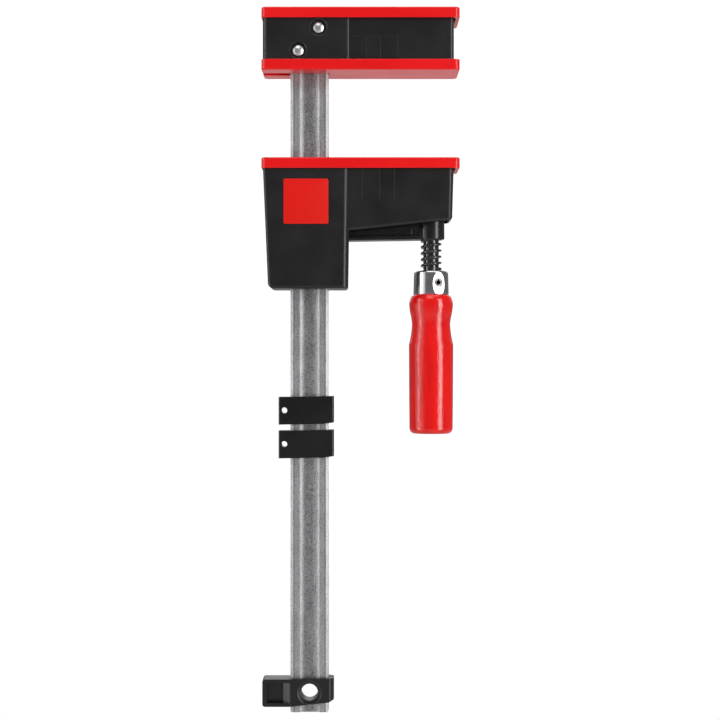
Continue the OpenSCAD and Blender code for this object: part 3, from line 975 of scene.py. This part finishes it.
class CLAMP_OT_spindle(Operator):
    """Build the spindle: a turned core with a rounded thread wound on it"""

    bl_idname = "clamp.spindle"
    bl_label = "Spindle"

    def execute(self, context):
        t = context.scene.clamp_screw
        low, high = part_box("spindle")
        root, z0, z1, top = t.root_radius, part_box("ferrule")[1].z, -0.091, high.z
        core = turned([
            (0, low.z), (TANG - 0.0005, low.z), (TANG, low.z + 0.0005), (TANG, z0 - 0.0002),
            (root, z0), (root, z1 - 0.0006), (root - 0.0006, z1), (0.004, z1),
            (0.004, top - 0.0058), (0.0046, top - 0.0055), (0.005, top - 0.005),
            (0.005, top - 0.001), (0.0042, top), (0, top),
        ], (t.axis_x, 0, 0), 96)
        core = cut(core, pin_hole())
        rib = self.thread(t, z0 + 0.0016, z1 - 0.0016)
        ribbon = bpy.data.meshes.new("rib")
        rib.to_mesh(ribbon)
        rib.free()
        core.from_mesh(ribbon)
        bpy.data.meshes.remove(ribbon)
        piece("screw_spindle", core, "spindle", "spindle", blackened_screw, crease=40)
        return {"FINISHED"}

    def thread(self, t, z0, z1, steps_a_turn=56):
        """One rib of rounded section, wound right-handed from z0 to z1 and closed at both ends."""
        bm = bmesh.new()
        inner, root, outer = t.root_radius - 0.0006, t.root_radius + 0.0002, t.thread_radius
        section = doubled([(inner, -0.00135), (root, -0.00122), (outer, -0.00080)])
        verts = [bm.verts.new((t.axis_x + r, 0, z0 + h)) for r, h in section]
        bm.faces.new(verts)
        crest = [v for v in verts if v.co.x > t.axis_x + outer - 1e-6]
        bevelled(bm, crest, 0.0007, 4, "VERTICES")
        turns = (z1 - z0) / t.pitch
        steps = int(steps_a_turn * turns)
        bmesh.ops.spin(
            bm, geom=list(bm.faces), cent=(t.axis_x, 0, 0), axis=(0, 0, 1), angle=TURN * turns,
            steps=steps, dvec=(0, 0, (z1 - z0) / steps),
        )
        bmesh.ops.recalc_face_normals(bm, faces=bm.faces)
        return bm


class CLAMP_OT_ferrule(Operator):
    """Build the bright ferrule with a scallop round each end of its pin, and the slit pin"""

    bl_idname = "clamp.ferrule"
    bl_label = "Ferrule and pin"

    def execute(self, context):
        t = context.scene.clamp_screw
        low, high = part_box("ferrule")
        cup_z, top = -0.154, high.z
        r0 = max(high.x - t.axis_x, t.axis_x - low.x)
        r1 = r0 - 0.0004
        bm = turned([
            (TANG, top), (r1 - 0.0022, top), (r1 - 0.0012, top - 0.0002),
            (r1 - 0.0005, top - 0.0007), (r1 - 0.0001, top - 0.0014), (r1, top - 0.0023),
            (r0, low.z + 0.0004), (r0 - 0.0002, low.z),
            (HANDLE_NECK, low.z), (HANDLE_NECK, cup_z), (TANG, cup_z),
        ], (t.axis_x, 0, 0), t.lathe_steps, loop=True)
        flat, sweep = 0.0123, 0.045
        scallops = []
        for way in (-1, 1):
            tool = rotated(turned(rod(sweep, -0.02, 0.02), steps=360), math.pi / 2, "Y")
            bmesh.ops.translate(tool, verts=tool.verts, vec=(0, way * (flat + sweep), 0))
            scallops.append(turned_to_pin(tool))
        bm = cut(bm, *scallops, pin_hole())
        piece("plated_ferrule", bm, "spindle", "ferrule", chrome_ferrule, crease=12)

        r, end = t.pin_radius, -0.0125
        tube = turned(doubled([
            (r - 0.0019, end + 0.0009), (r - 0.0015, end + 0.0001), (r - 0.0012, end),
            (r - 0.0009, end), (r - 0.0001, end + 0.0009),
        ]), steps=64, across=True, loop=True)
        slit = box((-0.0004, -0.02, 0), (0.0004, 0.02, 0.006))
        bm = cut(turned_to_pin(tube), turned_to_pin(slit))
        piece("slit_pin", bm, "spindle", "ferrule_pin", spring_steel, crease=40)
        return {"FINISHED"}


class CLAMP_OT_handle(Operator):
    """Build the turned handle: rounded shoulder, finger waist and long barrel"""

    bl_idname = "clamp.handle"
    bl_label = "Handle"

    def execute(self, context):
        t = context.scene.clamp_screw
        low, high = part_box("handle")
        top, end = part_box("ferrule")[0].z, low.z
        barrel, foot, corner = t.barrel_radius, t.barrel_radius - 0.0004, 0.004
        shoulder_and_waist = smooth_profile([(r, top - drop) for r, drop in (
            (0.0130, 0.0), (0.0148, 0.0012), (0.0159, 0.0034), (0.0165, 0.0062), (0.01655, 0.0084),
            (0.0160, 0.0130), (0.0150, 0.0180), (t.waist_radius, 0.0228), (0.0150, 0.0285),
            (0.0158, 0.0333), (barrel - 0.0002, 0.0370),
        )], 6)
        bm = turned([
            (0, high.z), (HANDLE_NECK, high.z), (HANDLE_NECK, top), *shoulder_and_waist,
            (barrel, top - 0.0376), (barrel, top - 0.0384), (barrel - 0.0001, top - 0.0600),
            (barrel - 0.0002, top - 0.0800), (foot, end + 0.0046),
            *[(foot - corner * (1 - math.cos(a)), end + corner * (1 - math.sin(a)))
              for a in (math.radians(step * 9) for step in range(1, 10))],
            (0.0022, end), (0.0016, end + 0.0003), (0, end + 0.0012),
        ], (t.axis_x, 0, 0), t.lathe_steps)
        tang = turned(rod(TANG, -0.197, high.z + PAST), (t.axis_x, 0, 0))
        bm = cut(bm, tang, pin_hole())
        piece("turned_handle", bm, "spindle", "handle", lacquered_wood, crease=40)
        return {"FINISHED"}


class CLAMP_OT_rests(Operator):
    """Build the two rail rests, each a clip round the rail with a pierced tab"""

    bl_idname = "clamp.rests"
    bl_label = "Rail rests"

    def execute(self, context):
        c = context.scene.clamp_clips
        middle = hanging_hole()[0]
        for node in ("upper_rail_rest", "lower_rail_rest"):
            low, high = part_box(node)
            z0, x0, x1 = low.z, low.x, high.x
            bm = side([
                (x0, z0), (x1 - 0.008, z0 + 0.0006), (x1, z0 + 0.0017), (x1, high.z),
                (x0, high.z - 0.0007),
            ], low.y, high.y)
            rounded(bm, 0.0014, lambda m, d: upright(d) and not x0 + 0.001 < m.x < x1 - 0.001, 4)
            tab = pin(x0 + 0.0043, z0 + 0.01075, c.rest_bore, -0.01, 0.01, 40)
            split = box((middle - 0.002, 0, z0 - PAST), (middle + 0.002, 0.01, high.z + PAST))
            bm = cut(bm, rail_window(c.gap, z0 - PAST, high.z + PAST), tab, split)
            piece(node + "_clip", bm, node, node, clip_plastic, ease=0.00045)
        return {"FINISHED"}


class CLAMP_OT_end_clip(Operator):
    """Build the end stop clip: pocketed head, legs round the rail and hanging hole"""

    bl_idname = "clamp.end_clip"
    bl_label = "End stop clip"

    def execute(self, context):
        c = context.scene.clamp_clips
        low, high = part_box("end_stop_clip")
        rail_low, rail_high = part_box("rail")
        x, z = hanging_hole()
        head_x1, leg = rail_low.x + 0.0005, 0.008
        root, z0, z1 = head_x1 - 0.001, z - 0.0109, z + 0.0099
        head = side([(low.x, z0), (head_x1, z0), (head_x1, z1), (low.x, z1)], low.y, high.y)
        rounded(head, 0.002, lambda m, d: crossing(d) and (m.x < low.x + NEAR or m.z > z), 5)
        rounded(head, 0.0005, lambda m, d: abs(m.y) > high.y - 1e-6, 2)
        legs = side([
            (root, z0), (rail_high.x, z - 0.0077), (high.x, z - 0.0057), (high.x, z + 0.0105),
            (root, z1),
        ], -leg, leg)
        chamfer = 0.0030
        rounded(legs, chamfer, lambda m, d: upright(d) and m.x > rail_high.x + 0.001, 1)
        rounded(legs, 0.0018, lambda m, d: upright(d) and abs(m.x - high.x + chamfer) < 0.0002, 4)

        back, neck, mouth = low.x + 0.0035, head_x1 - 0.006, head_x1 - 0.0008
        ledge, bottom = low.y + 0.0036, low.y + 0.005
        pocket = plan([
            (back, low.y - PAST), (mouth, low.y - PAST), (mouth, low.y), (neck, ledge),
            (neck, bottom), (back, bottom),
        ], z - 0.008, z + 0.0072)
        split = box((rail_high.x - 0.001, -0.0005, z - 0.012), (high.x + PAST, 0.0005, z + 0.012))
        window = rail_window(0.00002, rail_low.z - PAST, z + 0.02)
        bm = cut(joined(head, legs), window, pocket, split)

        ring_r, ring_y = context.scene.clamp_rail.clip_hole_radius - 0.00005, leg - 0.0005
        r, wide = c.hang_radius, c.hang_radius + c.funnel
        bore = turned(doubled([
            (0, -leg - PAST), (wide, -leg - PAST), (wide, -leg), (wide - 0.0007, 0.0006 - leg),
            (r + 0.0006, 0.0009 - leg), (r, 0.0014 - leg),
        ]), (x, 0, z), 72, across=True)
        bm = cut(joined(bm, pin(x, z, ring_r, -ring_y, ring_y, 72)), bore)
        piece("end_clip_moulding", bm, "rail", "end_stop_clip", clip_plastic, ease=0.0003)
        return {"FINISHED"}


class CLAMP_OT_inner_parts(Operator):
    """Give the pieces inside the jaws their finishes"""

    bl_idname = "clamp.inner_parts"
    bl_label = "Inner parts"

    def execute(self, context):
        for node, finish in (
            ("fixed_jaw_core", blackened_core),
            ("moving_jaw_core", blackened_core),
            ("arm_grip_pins", hardened_steel),
            ("thrust_seat", hardened_steel),
            ("seat_retainer", spring_steel),
            ("brake_spring", spring_steel),
            ("brake_shoe", shoe_plastic),
        ):
            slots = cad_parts[node].material_slots
            if not slots:
                raise RuntimeError(node + " has no slot for its finish")
            for slot in slots:
                slot.material = finish()
        return {"FINISHED"}


# ---- stage


class CLAMP_OT_stage(Operator):
    """Set the pale floor, the studio lights, the backdrop and the camera"""

    bl_idname = "clamp.stage"
    bl_label = "Stage"

    def execute(self, context):
        scene = context.scene
        scene.view_settings.view_transform = "Standard"
        self.world(scene)
        self.floor()
        for name, centre, size, power in (
            ("left wall", (-1.30, -0.48, -0.15), (1.3, 1.7), 7.0),
            ("left strip", (-1.10, -0.40, -0.15), (0.12, 1.6), 3.8),
            ("right strip", (0.95, -0.85, -0.15), (0.42, 1.6), 14.0),
            ("top light", (0.1, -0.35, 1.5), (1.6, 1.2), 12.0),
            ("front fill", (-0.3, -2.0, 2.0), (1.6, 1.0), 10.0),
        ):
            self.softbox(name, centre, size, power)
        camera = bpy.data.cameras.new("camera")
        camera.sensor_width = 36.0
        camera.lens = 78.95
        view = new_object("camera", camera)
        view.location = (MIDDLE_OF_VIEW.x, -1.2, MIDDLE_OF_VIEW.z)
        view.rotation_euler = (math.pi / 2, 0, 0)
        scene.camera = view
        return {"FINISHED"}

    def world(self, scene):
        """White behind the object, and a grey room, bright at the back, in its reflections."""
        world = bpy.data.worlds.new("studio")
        scene.world = world
        world.use_nodes = True
        tree = world.node_tree
        room = tree.nodes["Background"]
        room.inputs["Color"].default_value = (0.98, 0.99, 1.0, 1)
        backdrop = wired(tree, "ShaderNodeBackground", {"Color": (1, 1, 1, 1), "Strength": 1.05})
        where = tree.nodes.new("ShaderNodeTexCoord").outputs["Generated"]
        toward = wired(tree, "ShaderNodeSeparateXYZ", {"Vector": where}).outputs
        off_level = wired(tree, "ShaderNodeMath", {0: toward["Z"]}, operation="ABSOLUTE")
        glow = wired(tree, "ShaderNodeMath", {
            0: carried(tree, toward["Y"], 0.0, 1.0, 0.62, 0.85),
            1: carried(tree, off_level.outputs["Value"], 0.0, 1.0, 0.09, 0.16),
        }, operation="MULTIPLY")
        tree.links.new(carried(tree, glow.outputs["Value"], 0.16, 1.15), room.inputs["Strength"])
        shown_to_camera(tree, room.outputs[0], backdrop.outputs[0], "World Output")

    def floor(self):
        """A wide pale floor, well below the object."""
        bm = bmesh.new()
        level = Matrix.Translation((0, 0, -0.75))
        bmesh.ops.create_grid(bm, x_segments=1, y_segments=1, size=3.0, matrix=level)
        floor = loose_object(bm, "floor")
        f = Finish(
            "pale_floor", Base_Color=(0.5, 0.5, 0.5, 1), Roughness=0.9, Emission_Color=(1, 1, 1, 1),
            Emission_Strength=0.18,
        )
        glow = f.tree.nodes.new("ShaderNodeEmission").outputs["Emission"]
        shown_to_camera(f.tree, f.shader.outputs["BSDF"], glow, "Material Output")
        floor.data.materials.append(f.material)

    def softbox(self, name, centre, size, power):
        """A soft rectangular light that faces the middle of the clamp."""
        light = bpy.data.lights.new(name, "AREA")
        light.shape = "RECTANGLE"
        light.size, light.size_y = size
        light.energy = power
        lamp = new_object(name, light)
        lamp.location = centre
        lamp.rotation_euler = (MIDDLE_OF_VIEW - Vector(centre)).to_track_quat("-Z", "Y").to_euler()
        lamp.visible_camera = False


# ---- panel and registration


PIECES = (
    CLAMP_OT_rail, CLAMP_OT_pads, CLAMP_OT_fixed_cover, CLAMP_OT_rivets, CLAMP_OT_moving_cover,
    CLAMP_OT_badge, CLAMP_OT_slide_arm, CLAMP_OT_spindle, CLAMP_OT_ferrule, CLAMP_OT_handle,
    CLAMP_OT_rests, CLAMP_OT_end_clip, CLAMP_OT_inner_parts, CLAMP_OT_stage,
)


class CLAMP_PT_pieces(Panel):
    bl_label = "Bar clamp"
    bl_idname = "CLAMP_PT_pieces"
    bl_space_type = "VIEW_3D"
    bl_region_type = "UI"
    bl_category = "Clamp"

    def draw(self, context):
        for operator in PIECES:
            self.layout.operator(operator.bl_idname)
        for attribute in GROUPS:
            group = getattr(context.scene, attribute)
            for name in group.__annotations__:
                self.layout.prop(group, name)


def register():
    for cls in (*GROUPS.values(), *PIECES, CLAMP_PT_pieces):
        bpy.utils.register_class(cls)
    for attribute, group in GROUPS.items():
        setattr(bpy.types.Scene, attribute, PointerProperty(type=group))


def unregister():
    for attribute in GROUPS:
        delattr(bpy.types.Scene, attribute)
    for cls in reversed((*GROUPS.values(), *PIECES, CLAMP_PT_pieces)):
        bpy.utils.unregister_class(cls)


def main():
    register()
    for operator in PIECES:
        getattr(bpy.ops.clamp, operator.__name__.removeprefix("CLAMP_OT_"))()


if __name__ == "__main__":
    main()
